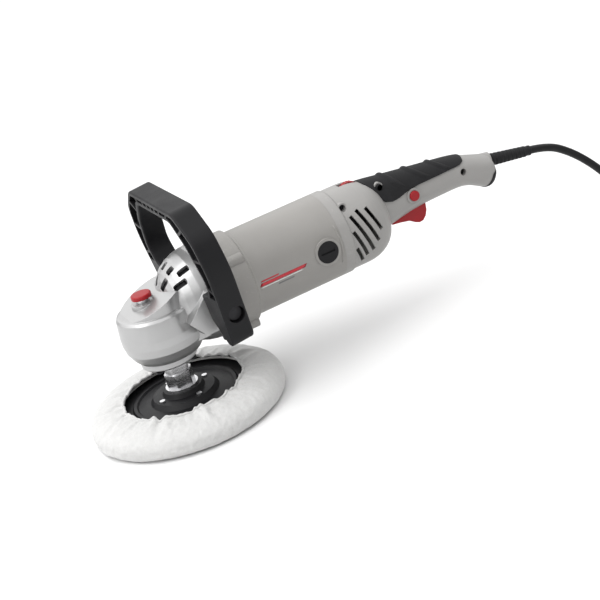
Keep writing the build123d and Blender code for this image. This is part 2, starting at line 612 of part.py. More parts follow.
screw_spots = [(190.0, 130.5, 28.2), (236.5, 129.5, 14.5), (325.0, 109.0, 16.0)]
SCREW_HEAD_R = 2.9
clamshell_screws = []
for x, z, wall_y in screw_spots:
    left_post = rod_y(4.6, -(wall_y - 1.0), 0, x, z)
    right_post = rod_y(4.6, 0, wall_y - 1.0, x, z)
    rear_shell += left_post + right_post
for x, z, wall_y in screw_spots:
    head_top = -(wall_y - 4.5)
    rear_shell -= rod_y(SCREW_HEAD_R + 0.3, -45, head_top + 2.4, x, z)
    screw = rod_y(SCREW_HEAD_R, head_top, head_top + 2.4, x, z) + rod_y(1.7, head_top + 2.4, 8.0, x, z)
    rear_shell -= rod_y(1.7, head_top + 2.4, 8.0, x, z)
    screw -= box((x - 2, x + 2), (head_top - 1, head_top + 1), (z - 0.4, z + 0.4))
    screw -= box((x - 0.4, x + 0.4), (head_top - 1, head_top + 1), (z - 2, z + 2))
    clamshell_screws.append(screw)
save("clamshell_screws", *clamshell_screws)

# slanted cooling slots, low end first: (x, z) to (x, z)
VENT_LEAN = (15.0, -43.0)
VENT_HALF = 1.8
vent_spots = [
    (209.3, 124.0, 25.5), (200.1, 125.4, 37), (192.3, 122.6, 41.5), (189.3, 109.0, 30), (188.6, 92.5, 17),
]
vent_dir = Vector(VENT_LEAN[0], 0, VENT_LEAN[1]).normalized()
vent_angle = degrees(atan2(vent_dir.Z, vent_dir.X))
for x, z, length in vent_spots:
    for side in (1, -1):
        slot = box((0, length), sorted((side * 18, side * 48)), (-VENT_HALF, VENT_HALF))
        slot = slot.rotate(Axis.Y, -vent_angle).moved(Location((x, 0, z)))
        rear_shell -= slot

DIAL_X = 212.0
DIAL_Z = 131.6
DIAL_R = 11.0
rear_shell -= box((DIAL_X - 10.0, DIAL_X + 10.0), (-3.4, 3.4), (126, 150))
rear_shell -= box((DIAL_X - 11.5, DIAL_X + 11.5), (-3.4, 3.4), (117, 137.3))
dial = rod_y(DIAL_R, -2.6, 2.6, DIAL_X, DIAL_Z)
notch = rod_y(0.7, -3, 3, DIAL_X, DIAL_Z + DIAL_R + 0.15)
for i in range(24):
    dial -= notch.rotate(Axis((DIAL_X, 0, DIAL_Z), (0, 1, 0)), 15 * i)
dial += rod_y(1.5, -9, 9, DIAL_X, DIAL_Z)
save("speed_dial", dial)
dial_posts = []
for side in (1, -1):
    y_span = sorted((side * 7, side * 10))
    post = box((DIAL_X - 4, DIAL_X + 4), y_span, (116, DIAL_Z + 3)) - rod_y(1.53, -12, 12, DIAL_X, DIAL_Z)
    dial_posts.append(post)
control_module = box((197.5, 227), (-15, 15), (104, 116)).fuse(*dial_posts)
save("control_module", control_module)

TRIGGER_PIVOT = (246.0, 94.0)
TRIGGER_HALF = 7.0
trigger_outline = [
    (242, 88.5), (243, 86.2), (252, 84.8), (261, 82.8), (266.5, 79.0), (271, 77.0), (275.5, 77.4),
    (279, 80.8), (281.5, 86), (282.4, 96.5), (262, 97.0), (250, 98.0), (243, 97.0),
]
trigger = prism_y(trigger_outline, -TRIGGER_HALF, TRIGGER_HALF)
trigger = fillet(trigger.edges().filter_by(Axis.Y).sort_by(Axis.Z)[0:5], 1.2)
trigger -= rod_y(1.55, -8, 8, *TRIGGER_PIVOT)
save("trigger", trigger)
rear_shell -= box((240.5, 284.6), (-TRIGGER_HALF - 0.5, TRIGGER_HALF + 0.5), (70, 100))
save("trigger_pin", rod_y(1.5, -11.5, 11.5, *TRIGGER_PIVOT))
for side in (1, -1):
    pin_post = rod_y(3.4, side * 7.6, side * 14.5, *TRIGGER_PIVOT)
    pin_post -= rod_y(1.5, side * 7, side * 11.5, *TRIGGER_PIVOT)
    rear_shell += pin_post & handle_outer
rear_shell -= rod_y(1.5, -11.5, 11.5, *TRIGGER_PIVOT)
SWITCH_Z = 104.0
switch_body = box((256, 290), (-8.5, 8.5), (SWITCH_Z, 120.5))
save("switch_body", switch_body)
save("trigger_spring", coil_spring(3.2, 0.4, 4, (273, 0, 97.0), (0, 0, 1), SWITCH_Z - 97.0))

LOCK_ON = (267.5, 108.6)
LOCK_ON_R = 5.0
rear_shell += rod_y(7.4, -18.3, -14.2, *LOCK_ON)
rear_shell -= rod_y(LOCK_ON_R + 0.15, -30, -12, *LOCK_ON)
lock_on = rod_y(LOCK_ON_R, -20.4, -13.4, *LOCK_ON)
lock_on = fillet(lock_on.edges().sort_by(Axis.Y)[0], 1.0)
save("lock_on_button", lock_on)
save("lock_on_spring", coil_spring(3.0, 0.35, 3, (LOCK_ON[0], -13.4, LOCK_ON[1]), (0, 1, 0), 4.9))

grip_outline = [
    (221, 150), (221.5, 141), (226, 131), (231.5, 120.5), (237, 115), (244, 112.6), (252, 113), (262, 115.4),
    (275, 116.6), (324, 116.8), (329, 118.5), (331.5, 122), (333, 128), (337, 134), (337, 150),
]
GRIP_PROUD = 1.3
grip = tapered_loft(GRIP_STATIONS, -GRIP_PROUD, 200, HEEL_X) & prism_y(grip_outline, -30, 30)
grip -= rear_outer
for x, z, wall_y in screw_spots:
    grip -= rod_y(SCREW_HEAD_R + 0.3, -45, -8, x, z)

boot_tail = on_boot(50)
boot_profile = [(0, -8), (7.8, -8), (7.8, -5), (6.4, -5), (6.2, 4), (5.1, 50), (0, 50)]
boot_face = Face(Wire.make_polygon([(r, 0, d) for r, d in boot_profile], close=True))
boot = Solid.revolve(boot_face, 360, Axis.Z)
boot = Plane(origin=BOOT_ROOT, z_dir=boot_along).location * boot
save("cable_boot", boot)
rear_shell -= rod(6.7, on_boot(-12), on_boot(10))
rear_shell -= rod(8.0, on_boot(-12), on_boot(-4.8))

clamp_x = (334.0, 342.0)
lead_z = on_boot(-22.9).Z
clamp_saddle = box(clamp_x, (-8.5, 8.5), (lead_z - 9.0, lead_z - CORD_R - 0.8))
clamp_bar = box(clamp_x, (-4.8, 4.8), (lead_z + CORD_R + 0.8, lead_z + 6.4))
save("cable_clamp", clamp_saddle, clamp_bar)
inner_lead = rod(CORD_R, on_boot(-30), on_boot(-8))
save("inner_lead", inner_lead)
grip -= rear_shell
save("handle_grip", grip)
left_zone = box((150, 400), (-60, 0), (40, 180))
right_zone = box((150, 400), (0, 60), (40, 180))
save("rear_housing_left", rear_shell & left_zone)
save("rear_housing_right", rear_shell & right_zone)

# ---- mains lead, put away in a coil ---------------------------------------------------------
COIL_X = 575.0
COIL_R = 44.0
TURN = 2 * CORD_R
OUTER_TURN_R = COIL_R + TURN
FLOOR_Z = CORD_R + FLOOR_GAP
COIL_Y = -8.0 - OUTER_TURN_R
STUB = 34.0
lead_route = [
    tuple(boot_tail), tuple(on_boot(72)), (454.5, -0.5, 75.5), (475.0, -1.5, 55.0), (493.0, -3.5, 31.0),
    (509.0, -6.0, 13.5), (526.0, -8.0, FLOOR_Z), (COIL_X - STUB, -8.0, FLOOR_Z),
]
save("power_cord", cord_tube("power_cord", CORD_R, lead_route))

coil_section = [
    (31.5, FLOOR_GAP + 1), (31.5, 7), (35, 12), (39, 19), (42, 22), (46, 22), (50, 19), (53, 12),
    (56.5, 7), (56.5, FLOOR_GAP + 1), (55, FLOOR_GAP), (33, FLOOR_GAP),
]
coil = lathe_z(coil_section).moved(Location((COIL_X, COIL_Y, 0)))
TAIL_Z = FLOOR_Z + 14
tail_y = COIL_Y - COIL_R - CORD_R
coil += rod_x(CORD_R, COIL_X - STUB, COIL_X, y=-8.0, z=FLOOR_Z)
coil += rod_x(CORD_R, COIL_X - STUB, COIL_X, y=tail_y, z=TAIL_Z)
save("cord_coil", coil)

tail_route = [
    (COIL_X - STUB, tail_y, TAIL_Z), (COIL_X - STUB - 26, tail_y, TAIL_Z),
    (COIL_X - STUB - 50, tail_y - 7, TAIL_Z),
]
save("plug_lead", cord_tube("plug_lead", CORD_R, tail_route))

# two-pin plug, lying on the rim of its face
plug_start = Vector(*tail_route[-1])
plug_along = (plug_start - Vector(*tail_route[-2])).normalized()
plug_plane = Plane(origin=plug_start, x_dir=(0, 0, 1), z_dir=plug_along)
plug_profile = [
    (0, 0), (5.0, 0), (6.2, 24), (9.5, 27), (13.5, 33), (15.0, 44), (16.5, 46), (17.9, 49),
    (17.9, 54), (0, 54),
]
plug = plug_plane.location * Solid.revolve(
    Face(Wire.make_polygon([(r, 0, d) for r, d in plug_profile], close=True)), 360, Axis.Z
)
plug_pins = []
for side in (1, -1):
    pin = rod(2.4, (0, side * 9.5, 44), (0, side * 9.5, 72.0))
    pin = plug_plane.location * fillet(pin.edges().sort_by(Axis.Z)[-1], 1.4)
    plug_pins.append(pin)
    plug -= pin
save("plug", plug)
save("plug_pins", *plug_pins)
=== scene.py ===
import json
import random
from math import atan2, cos, degrees, exp, hypot, pi, radians, sin

import bpy
from mathutils import Matrix, Vector, noise
from mathutils.bvhtree import BVHTree


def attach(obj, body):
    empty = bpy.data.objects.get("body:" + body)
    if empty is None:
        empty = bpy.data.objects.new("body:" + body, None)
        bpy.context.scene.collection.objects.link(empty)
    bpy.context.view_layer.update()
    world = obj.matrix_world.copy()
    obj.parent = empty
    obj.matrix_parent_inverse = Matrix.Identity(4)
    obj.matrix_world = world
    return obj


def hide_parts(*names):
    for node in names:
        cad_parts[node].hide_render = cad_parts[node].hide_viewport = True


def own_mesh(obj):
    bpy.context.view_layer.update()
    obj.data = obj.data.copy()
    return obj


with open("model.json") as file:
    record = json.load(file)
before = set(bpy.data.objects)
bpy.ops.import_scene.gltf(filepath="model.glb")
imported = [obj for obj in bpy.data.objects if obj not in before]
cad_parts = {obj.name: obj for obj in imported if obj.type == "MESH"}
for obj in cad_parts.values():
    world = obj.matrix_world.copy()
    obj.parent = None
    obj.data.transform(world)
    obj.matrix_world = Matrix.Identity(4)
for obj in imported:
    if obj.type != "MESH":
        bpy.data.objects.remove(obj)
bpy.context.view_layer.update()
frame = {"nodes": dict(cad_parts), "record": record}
MM = 0.001
AXIS_Z = 102.4            # height of the motor axis over the floor, mm
MOTOR_R = 41.0
nodes = frame["nodes"]
random.seed(7)


def mm(*point):
    return Vector(point) * MM


# ---- camera ----------------------------------------------------------------------------------
AZIMUTH = radians(-19.187)
ELEVATION = radians(22.481)
ROLL = radians(-17.491)
DISTANCE = 1295.685
SIDE_OFFSET = -100.651
UP_OFFSET = -100.986
back = Vector((sin(AZIMUTH) * cos(ELEVATION), -cos(AZIMUTH) * cos(ELEVATION), sin(ELEVATION)))
level_right = Vector((cos(AZIMUTH), sin(AZIMUTH), 0))
level_up = back.cross(level_right)
cam_right = cos(ROLL) * level_right + sin(ROLL) * level_up
cam_up = cos(ROLL) * level_up - sin(ROLL) * level_right
cam_place = (DISTANCE * back - SIDE_OFFSET * cam_right - UP_OFFSET * cam_up) * MM
camera_data = bpy.data.cameras.new("camera")
camera_data.sensor_width = 36
camera_data.lens = 84
camera_data.clip_start = 0.01
camera = bpy.data.objects.new("camera", camera_data)
bpy.context.collection.objects.link(camera)
turn = Matrix((cam_right, cam_up, back)).transposed().to_4x4()
camera.matrix_world = Matrix.Translation(cam_place) @ turn
bpy.context.scene.camera = camera


# ---- materials -------------------------------------------------------------------------------
class Shader:
    """A node material being built: add() makes a node and sets or links its inputs."""

    def __init__(self, name):
        self.material = bpy.data.materials.new(name)
        self.material.use_nodes = True
        self.tree = self.material.node_tree
        self.bsdf = self.tree.nodes["Principled BSDF"]
        self.coords = self.tree.nodes.new("ShaderNodeTexCoord").outputs["Object"]

    def add(self, kind, inputs=None, output=0, **settings):
        node = self.tree.nodes.new("ShaderNode" + kind)
        for key, value in settings.items():
            setattr(node, key, value)
        for key, value in (inputs or {}).items():
            self.put(node.inputs[key], value)
        return node.outputs[output]

    def put(self, socket, value):
        if isinstance(value, bpy.types.NodeSocket):
            self.tree.links.new(value, socket)
        else:
            socket.default_value = value

    def noise(self, scale, detail=4.0, roughness=0.55, vector=None):
        inputs = {"Vector": vector or self.coords, "Scale": scale, "Detail": detail, "Roughness": roughness}
        return self.add("TexNoise", inputs)

    def stretched(self, x, y, z):
        return self.add("Mapping", {"Vector": self.coords, "Scale": (x, y, z)})

    def ramp(self, value, low, high, to_low=0.0, to_high=1.0):
        inputs = {"Value": value, "From Min": low, "From Max": high, "To Min": to_low, "To Max": to_high}
        return self.add("MapRange", inputs)

    def mix(self, factor, one, two):
        node = self.tree.nodes.new("ShaderNodeMix")
        node.data_type = "RGBA"
        self.put(node.inputs[0], factor)
        self.put(node.inputs[6], one)
        self.put(node.inputs[7], two)
        return node.outputs[2]

    def math(self, operation, one, two=0.0):
        return self.add("Math", {0: one, 1: two}, operation=operation)

    def bump(self, height, strength, distance, normal=None):
        inputs = {"Height": height, "Strength": strength, "Distance": distance}
        if normal is not None:
            inputs["Normal"] = normal
        return self.add("Bump", inputs)

    def set(self, **inputs):
        for key, value in inputs.items():
            self.put(self.bsdf.inputs[key.replace("_", " ")], value)


def shade(colour, factor):
    return tuple(min(1.0, c * factor) for c in colour) + (1.0,)


def moulded(name, colour, roughness, grain=900, grain_depth=0.00006, spread=0.06, **extra):
    """Moulded plastic: fine spark-eroded grain, faint cloudiness, and worn, lighter edges."""
    s = Shader(name)
    cloud = s.noise(38, 3)
    fine = s.noise(grain, 2, 0.6)
    tone = s.mix(s.ramp(cloud, 0.3, 0.7), shade(colour, 1 - spread), shade(colour, 1 + spread))
    pointy = s.add("NewGeometry", output="Pointiness")
    edge = s.ramp(pointy, 0.53, 0.62, 0.0, 0.30)
    scuffs = s.ramp(s.noise(210, 5, 0.7), 0.56, 0.72)
    tone = s.mix(s.math("MULTIPLY", edge, scuffs), tone, shade(colour, 1.8))
    rough = s.ramp(cloud, 0.25, 0.75, roughness - 0.05, roughness + 0.07)
    rough = s.math("ADD", rough, s.ramp(fine, 0.3, 0.7, -0.03, 0.03))
    rounded = s.add("Bevel", {"Radius": 0.0006}, samples=4)
    s.set(Base_Color=tone, Roughness=rough, Normal=s.bump(fine, 0.35, grain_depth, rounded), **extra)
    return s.material


def cast_metal(name, colour, roughness=0.34):
    """Silver-lacquered die casting: orange-peel skin with a slight sparkle."""
    s = Shader(name)
    cloud = s.noise(26, 4)
    peel = s.noise(330, 3, 0.5)
    speck = s.ramp(s.noise(2600, 1), 0.62, 0.75)
    tone = s.mix(s.ramp(cloud, 0.3, 0.7), shade(colour, 0.94), shade(colour, 1.04))
    tone = s.mix(s.math("MULTIPLY", speck, 0.22), tone, shade(colour, 1.4))
    rough = s.ramp(cloud, 0.3, 0.7, roughness - 0.05, roughness + 0.06)
    rounded = s.add("Bevel", {"Radius": 0.0006}, samples=8)
    s.set(Base_Color=tone, Metallic=0.72, Roughness=rough, Normal=s.bump(peel, 0.25, 0.00012, rounded))
    return s.material


def turned_metal(name, colour, roughness=0.24, stretch=(30, 30, 900), metallic=1.0):
    """Machined metal: fine tool marks across the stretch's longest axis, with smudges."""
    s = Shader(name)
    marks = s.noise(1.0, 2, 0.5, s.stretched(*stretch))
    smudge = s.noise(70, 4)
    tone = s.mix(s.ramp(smudge, 0.35, 0.7), shade(colour, 1.05), shade(colour, 0.82))
    rough = s.ramp(marks, 0.3, 0.7, roughness - 0.02, roughness + 0.03)
    rough = s.math("ADD", rough, s.ramp(smudge, 0.4, 0.8, 0, 0.1))
    s.set(Base_Color=tone, Metallic=metallic, Roughness=rough, Normal=s.bump(marks, 0.06, 0.000005))
    return s.material


def soft_rubber(name, colour, roughness=0.62, spread=0.12):
    """Overmoulded rubber: matt, finely pebbled, a little dust in the low places."""
    s = Shader(name)
    pebbles = s.add("TexVoronoi", {"Vector": s.coords, "Scale": 1400})
    dust = s.noise(55, 5, 0.65)
    tone = s.mix(s.ramp(dust, 0.52, 0.8), shade(colour, 1.0), shade(colour, 1 + 7 * spread))
    rough = s.ramp(dust, 0.3, 0.8, roughness - 0.05, roughness + 0.12)
    rounded = s.add("Bevel", {"Radius": 0.0005}, samples=4)
    s.set(Base_Color=tone, Roughness=rough, Normal=s.bump(pebbles, 0.25, 0.00008, rounded))
    s.set(Specular_IOR_Level=0.2)
    return s.material


def woven(name, colour):
    """Bonnet cloth: short woolly pile with painted shade at the roots of the fibres, painted shade in broad
    folds, and small clumps.
    """
    s = Shader(name)
    clumps = s.noise(150, 5, 0.7)
    fibres = s.noise(1300, 3, 0.75)
    fold_shade = s.noise(24, 3)
    tone = s.mix(s.ramp(clumps, 0.35, 0.7), shade(colour, 0.93), shade(colour, 1.03))
    # painted shade: darker where the fine noise is low, standing for shade at the roots of the pile
    tone = s.mix(s.ramp(fibres, 0.30, 0.55), shade(colour, 0.88), tone)
    # painted shade: broad patches a little darker, standing for shade in folds of the cloth
    tone = s.mix(s.ramp(fold_shade, 0.55, 0.8, 0.0, 0.35), tone, shade(colour, 0.95))
    height = s.math("ADD", s.math("MULTIPLY", clumps, 1.4), fibres)
    s.set(Base_Color=tone, Roughness=0.95, Normal=s.bump(height, 0.55, 0.00055))
    s.set(Sheen_Weight=0.35, Sheen_Roughness=0.5, Specular_IOR_Level=0.2)
    return s.material


def wound(name, colour):
    """Enamelled copper wire, wound in rows."""
    s = Shader(name)
    rows = s.add("TexWave", {"Vector": s.coords, "Scale": 420, "Distortion": 0.6}, bands_direction="Z")
    patch = s.noise(90, 3)
    tone = s.mix(s.ramp(patch, 0.3, 0.7), shade(colour, 0.8), shade(colour, 1.15))
    s.set(Base_Color=tone, Metallic=0.9, Roughness=s.ramp(rows, 0, 1, 0.25, 0.45))
    s.set(Normal=s.bump(rows, 0.6, 0.0003))
    return s.material


def stacked(name, colour):
    """Punched steel sheets, stacked along the motor axis."""
    s = Shader(name)
    sheets = s.add("TexWave", {"Vector": s.coords, "Scale": 300}, bands_direction="X")
    stain = s.noise(60, 4)
    tone = s.mix(s.ramp(stain, 0.4, 0.75), shade(colour, 1.1), shade(colour, 0.7))
    s.set(Base_Color=tone, Metallic=0.9, Roughness=s.ramp(stain, 0.3, 0.7, 0.3, 0.5))
    s.set(Normal=s.bump(sheets, 0.4, 0.0001))
    return s.material


def foam(name, colour):
    s = Shader(name)
    cells = s.add("TexVoronoi", {"Vector": s.coords, "Scale": 700})
    tone = s.mix(s.ramp(cells, 0.1, 0.6), shade(colour, 0.6), shade(colour, 1.05))
    s.set(Base_Color=tone, Roughness=0.92, Normal=s.bump(cells, 0.7, 0.0006))
    return s.material


BLACK = (0.010, 0.010, 0.011)
RED = (0.27, 0.004, 0.008)
materials = {
    "bonnet_pile": woven("bonnet_cloth", (0.53, 0.528, 0.522)),
    "cord_white": woven("drawstring_braid", (0.80, 0.79, 0.77)),
    "foam": foam("pad_foam", (0.62, 0.60, 0.55)),
    "pad_plate": moulded("pad_plate_black", (0.007, 0.007, 0.008), 0.45, 1200, Specular_IOR_Level=0.2),
    "bright_steel": turned_metal("bright_steel", (0.66, 0.66, 0.67)),
    "dark_screws": turned_metal("dark_screws", (0.035, 0.035, 0.037), 0.45),
    "gear_steel": turned_metal("gear_steel", (0.42, 0.42, 0.44), 0.3),
    "bearing_steel": turned_metal("bearing_steel", (0.64, 0.64, 0.66), 0.2),
    "spring_steel": turned_metal("spring_steel", (0.45, 0.45, 0.47), 0.28),
    "cast_silver": cast_metal("cast_silver", (0.40, 0.40, 0.40), 0.32),
    "housing_grey": moulded("housing_grey", (0.235, 0.227, 0.215), 0.42, 1000, 0.00005, 0.03),
    "rear_grey": moulded("rear_grey", (0.26, 0.254, 0.246), 0.42, 1000, 0.00005, 0.03),
    "black_plastic": moulded("black_plastic", BLACK, 0.46, 1100, Specular_IOR_Level=0.15),
    "black_rubber": soft_rubber("black_rubber", (0.011, 0.011, 0.012)),
    "cord_black": soft_rubber("cord_black", (0.008, 0.008, 0.0085), 0.38, 0.05),
    "red_plastic": moulded("red_plastic", RED, 0.36, 900, 0.00004, 0.05, Specular_IOR_Level=0.3),
    "brass": turned_metal("brass", (0.70, 0.50, 0.22), 0.25),
    "copper": wound("copper", (0.55, 0.25, 0.13)),
    "lamination": stacked("lamination", (0.30, 0.30, 0.32)),
    "carbon": soft_rubber("carbon", (0.04, 0.04, 0.043), 0.5),
}
for part in frame["record"]["subparts"]:
    target = nodes[part["node"]]
    target.data.materials.clear()
    target.data.materials.append(materials[part["material_slot"]])
    target.data.polygons.foreach_set("material_index", [0] * len(target.data.polygons))


# ---- mesh helpers ----------------------------------------------------------------------------
def link(name, data):
    obj = bpy.data.objects.new(name, data)
    bpy.context.collection.objects.link(obj)
    return obj


def mesh_object(name, points, faces, material, smooth=True):
    data = bpy.data.meshes.new(name)
    data.from_pydata([tuple(p) for p in points], [], faces)
    data.validate()
    data.update()
    data.materials.append(material)
    if smooth:
        data.shade_smooth()
    return link(name, data)


def add_modifier(obj, kind, **settings):
    modifier = obj.modifiers.new(kind.lower(), kind)
    for key, value in settings.items():
        setattr(modifier, key, value)
    return modifier


def apply_modifiers(obj):
    """Turn the object's modifiers into its mesh."""
    graph = bpy.context.evaluated_depsgraph_get()
    data = bpy.data.meshes.new_from_object(obj.evaluated_get(graph))
    obj.modifiers.clear()
    obj.data = data


def grid_faces(rows, columns, closed_rows=False, closed_columns=True):
    """Quads of a grid of points stored row after row."""
    faces = []
    for i in range(rows if closed_rows else rows - 1):
        for j in range(columns if closed_columns else columns - 1):
            a = i * columns + j
            b = i * columns + (j + 1) % columns
            c = (i + 1) % rows * columns + (j + 1) % columns
            d = (i + 1) % rows * columns + j
            faces.append((a, b, c, d))
    return faces


def lathe(name, profile, start, along, material, sides=64):
    """Turn (distance, radius) pairs in mm about a line."""
    along = along.normalized()
    across = along.orthogonal().normalized()
    other = along.cross(across)
    points = []
    for distance, radius in profile:
        centre = start + along * distance
        for j in range(sides):
            a = 2 * pi * j / sides
            points.append((centre + (across * cos(a) + other * sin(a)) * radius) * MM)
    faces = grid_faces(len(profile), sides)
    faces.append(tuple(reversed(range(sides))))
    faces.append(tuple(range(len(points) - sides, len(points))))
    return mesh_object(name, points, faces, material)


def strip(name, rows, material, thickness):
    """A sheet through rows of points in mm, given a thickness."""
    points = [Vector(p) * MM for row in rows for p in row]
    obj = mesh_object(name, points, grid_faces(len(rows), len(rows[0]), closed_columns=False), material)
    add_modifier(obj, "SOLIDIFY", thickness=thickness * MM, offset=0)
    return obj


# ---- mains lead ------------------------------------------------------------------------------
CORD_R = 4.0
FLOOR_Z = 4.05
BOOT_TILT = radians(10)
boot_along = Vector((cos(BOOT_TILT), 0, -sin(BOOT_TILT)))
BOOT_ROOT = Vector((360.5, 0, 103.6))
COIL_CENTRE = (575.0, -60.0)
POINTS_PER_TURN = 16


def on_boot(distance):
    return BOOT_ROOT + boot_along * distance


lead_route = [
    tuple(on_boot(50)), tuple(on_boot(72)), (454.5, -0.5, 75.5), (475.0, -1.5, 55.0), (493.0, -3.5, 31.0),
    (509.0, -6.0, 13.5), (526.0, -8.0, FLOOR_Z), (541.0, -8.0, FLOOR_Z),
]
# each turn of the coil: its radius and the height of its centreline
TURNS = [(52.2, 4.05), (44.1, 4.05), (36.0, 4.05), (40.1, 11.3), (48.2, 11.3), (46.0, 18.3), (46.0, 18.3)]
coil_points = []
for step in range(int(5.5 * POINTS_PER_TURN) + 1):
    turns = step / POINTS_PER_TURN
    whole = int(turns)
    blend = min(1.0, max(0.0, (turns - whole - 0.72) / 0.28))
    blend = blend * blend * (3 - 2 * blend)
    r0, z0 = TURNS[whole]
    r1, z1 = TURNS[whole + 1]
    radius = r0 + (r1 - r0) * blend
    height = z0 + (z1 - z0) * min(1.0, blend * 1.3)
    angle = radians(90) - 2 * pi * turns
    wander = 0.35 * sin(2.7 * angle + 1.3 * whole)
    coil_points.append((
        COIL_CENTRE[0] + (radius + wander) * cos(angle),
        COIL_CENTRE[1] + (radius + wander) * sin(angle),
        height,
    ))
tail_route = [(541.0, -108.0, 18.05), (515.0, -108.0, 18.05), (491.0, -115.0, 18.05)]
cord_points = [mm(*p) for p in lead_route + coil_points[1:] + tail_route]
cord_curve = bpy.data.curves.new("mains_lead", "CURVE")
cord_curve.dimensions = "3D"
cord_curve.resolution_u = 8
cord_curve.bevel_depth = CORD_R * MM
cord_curve.bevel_resolution = 6
cord_curve.use_fill_caps = True
spline = cord_curve.splines.new("NURBS")
spline.points.add(len(cord_points) - 1)
for point, place in zip(spline.points, cord_points):
    point.co = (*place, 1.0)
spline.order_u = 3
spline.use_endpoint_u = True
cord_curve.materials.append(materials["cord_black"])
mains_lead = link("mains_lead", cord_curve)
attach(mains_lead, "housing")
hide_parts("power_cord", "cord_coil", "plug_lead")

# ---- strain relief ---------------------------------------------------------------------------
boot_profile = [(-8, 7.7), (-5.1, 7.7), (-4.9, 6.4), (1.6, 6.3)]
RING_COUNT = 9
for ring in range(RING_COUNT):
    d = 4.0 + ring * 4.6
    r = 6.35 - 0.022 * d
    boot_profile += [(d, r - 0.9), (d + 0.5, r - 0.15), (d + 0.9, r)]
    boot_profile += [(d + 3.0, r), (d + 3.4, r - 0.15), (d + 3.8, r - 0.9)]
boot_profile += [(47.5, 5.0), (49.6, 5.1), (50.0, 4.7)]
boot = lathe("boot_rings", boot_profile, BOOT_ROOT, boot_along, materials["black_rubber"], 56)
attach(boot, "housing")
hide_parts("cable_boot")

# ---- cloth bonnet ----------------------------------------------------------------------------
# (radius, height) from the middle of the underside, round the rim to the hem
BONNET = [
    (0, 0.1), (22, 0.1), (44, 0.1), (62, 0.1), (76, 0.15), (84.5, 0.3), (88.6, 1.6), (91.2, 4.0),
    (92.6, 7.0), (93.0, 10.0), (92.4, 13.4), (90.6, 16.6), (87.6, 19.4), (83.6, 21.6), (79, 23.1),
    (74, 24.1), (69.5, 24.6),
    (66.2, 24.5), (63.6, 23.9), (61.4, 23.8), (59.4, 24.4), (57.6, 24.9),
]
SECTORS = 240
GATHERS = 26
phases = [random.uniform(-0.6, 0.6) for _ in range(GATHERS + 1)]
depths = [random.uniform(0.15, 1.0) for _ in range(GATHERS + 1)]
phases[GATHERS] = phases[0]
depths[GATHERS] = depths[0]


def gather(angle, sharp=1.0):
    """Height of the pleat pattern at an angle, -1 to 1."""
    turns = (angle % (2 * pi)) / (2 * pi) * GATHERS
    i = int(turns) % GATHERS
    f = turns - int(turns)
    f = f * f * (3 - 2 * f)
    phase = phases[i] * (1 - f) + phases[i + 1] * f
    depth = depths[i] * (1 - f) + depths[i + 1] * f
    wave = cos(GATHERS * angle + phase)
    return depth * (abs(wave) ** sharp) * (1 if wave > 0 else -1)


points = []
for i, (r, z) in enumerate(BONNET):
    for j in range(SECTORS):
        a = 2 * pi * j / SECTORS
        top = max(0.0, min(1.0, (z - 9) / 14)) if i > 8 else 0.0
        hem = max(0.0, (i - 16) / (len(BONNET) - 17))
        crease = gather(a) * (0.25 + 0.75 * hem)
        slow = noise.noise(Vector((2.2 * cos(a), 2.2 * sin(a), 0.11 * i)))
        rr = r + top * (0.5 * crease + 1.2 * slow) - hem * 0.7 * crease
        zz = z + top * (0.9 * crease + 0.9 * slow - 0.3)
        points.append(mm(rr * cos(a), rr * sin(a), max(0.1, zz)))
faces = [f for f in grid_faces(len(BONNET), SECTORS) if f[0] >= SECTORS]
centre_index = len(points)
points.append(mm(0, 0, 0.1))
for j in range(SECTORS):
    faces.append((centre_index, SECTORS + (j + 1) % SECTORS, SECTORS + j))
bonnet = mesh_object("bonnet_cloth", points, faces, materials["bonnet_pile"])


# (radius, height) of the stuffing that holds the cloth up, all round
PAD_UNDER_CLOTH = [
    (60, 1.2), (86.5, 1.4), (90.2, 5.0), (90.8, 10.0), (89.6, 14.5), (86.5, 17.8), (82.0, 20.0), (76.5, 21.6),
    (70.0, 22.4), (62.0, 22.4), (57.0, 21.6),
]


def settle_bonnet(obj):
    """Let the gathered cloth buckle over the pad: it is cut wider than the place it is drawn into."""
    pad_profile = [(z, r) for r, z in PAD_UNDER_CLOTH]
    origin = Vector((0, 0, 0))
    collider = lathe("pad_under_cloth", pad_profile, origin, Vector((0, 0, 1)), materials["foam"], 96)
    add_modifier(collider, "COLLISION")
    collider.collision.thickness_outer = 0.0006
    collider.collision.cloth_friction = 12
    pins = obj.vertex_groups.new(name="pins")
    rows = len(BONNET)
    for i in range(rows):
        weight = 1.0 if i <= 6 or i >= rows - 2 else 0.0
        for j in range(SECTORS):
            pins.add([i * SECTORS + j], weight, "REPLACE")
    pins.add([centre_index], 1.0, "REPLACE")
    obj.shape_key_add(name="start")
    cut = obj.shape_key_add(name="cut")
    for i in range(rows):
        widen = 1.0 + 0.16 * max(0.0, min(1.0, (i - 8) / 9))
        for j in range(SECTORS):
            co = cut.data[i * SECTORS + j].co
            co.x *= widen
            co.y *= widen
    cloth = add_modifier(obj, "CLOTH")
    cloth.settings.rest_shape_key = cut
    cloth.settings.quality = 6
    cloth.settings.mass = 0.35
    cloth.settings.tension_stiffness = 12
    cloth.settings.compression_stiffness = 12
    cloth.settings.shear_stiffness = 4
    cloth.settings.bending_stiffness = 0.02
    cloth.settings.vertex_group_mass = "pins"
    cloth.settings.effector_weights.gravity = 0.6
    cloth.collision_settings.distance_min = 0.0006
    cloth.collision_settings.use_self_collision = False
    cloth.point_cache.frame_start = 1
    cloth.point_cache.frame_end = 24
    for frame_number in range(1, 25):
        bpy.context.scene.frame_set(frame_number)
    apply_modifiers(obj)
    bpy.context.scene.frame_set(1)
    bpy.data.objects.remove(collider)


settle_bonnet(bonnet)


